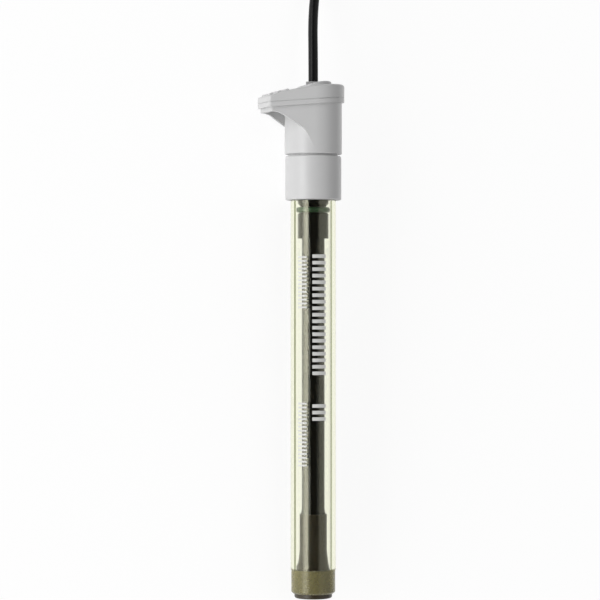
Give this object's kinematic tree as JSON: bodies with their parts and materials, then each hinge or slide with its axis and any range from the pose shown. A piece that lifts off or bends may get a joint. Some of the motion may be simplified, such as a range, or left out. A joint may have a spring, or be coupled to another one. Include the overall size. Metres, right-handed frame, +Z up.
{
  "type": "ion-selective electrode",
  "caption": "Slim combination electrode with a clear amber body, black inner rod, sealing ring, grey cap with a thumb lever, and a cable ending in a bayonet plug.",
  "frame": {"origin": "middle of the lying electrode's box, on the surface that it lies on", "axes": "+X along the electrode from its sensing tip towards its cap and cable, leaning up by one degree, +Y the side that the thumb lever points to, +Z up"},
  "size_m": [0.3248, 0.0256, 0.0179],
  "materials": {
    "amber_tube": "clear pale amber plastic",
    "black_rod": "polished black",
    "tip_black": "satin black",
    "membrane": "waxy",
    "silver": "dull silver",
    "copper": "drawn wire",
    "green_seal": "moulded",
    "steel": "bright drawn",
    "cap_grey": "satin moulding",
    "grommet_grey": "satin",
    "cable_black": "glossy sheath",
    "tie_black": "hook and loop",
    "boot_black": "moulded",
    "nickel": "bright nickel",
    "insulator_white": "waxy",
    "pin_gold": "gold plate"
  },
  "bodies": {
    "head": {"top_cover": "cap_grey", "cap_housing": "cap_grey", "collar": "cap_grey", "inner_rod": "black_rod", "tip_cone": "tip_black", "sensing_membrane": "membrane", "membrane_contact": "silver", "signal_lead": "copper", "reference_element": "silver", "o_ring": "green_seal", "return_spring": "steel", "stem_nut": "steel", "cable_grommet": "grommet_grey", "cable_lead": "cable_black", "cable_hank": "cable_black", "hank_tie": "tie_black", "cable_tail": "cable_black", "plug_boot": "boot_black", "crimp_ferrule": "nickel", "plug_body": "nickel", "contact_sleeve": "nickel", "plug_insulator": "insulator_white", "centre_pin": "pin_gold", "plug_gasket": "boot_black"},
    "tube": {"outer_tube": "amber_tube", "spring_washer": "steel"},
    "ring": {"coupling_ring": "nickel"}
  },
  "joints": [
    {"name": "tube_slide", "type": "slide", "parent": "head", "child": "tube", "axis": [0.9998, 0, 0.018], "range_m": [0, 0.003], "stiffness_N_per_m": 755, "springref_m": -0.004, "deforming": ["return_spring"]},
    {"name": "ring_turn", "type": "hinge", "parent": "head", "child": "ring", "pos_m": [0.242, -0.0046, 0.00785], "axis": [0.9962, 0, 0.0872], "continuous": true}
  ]
}
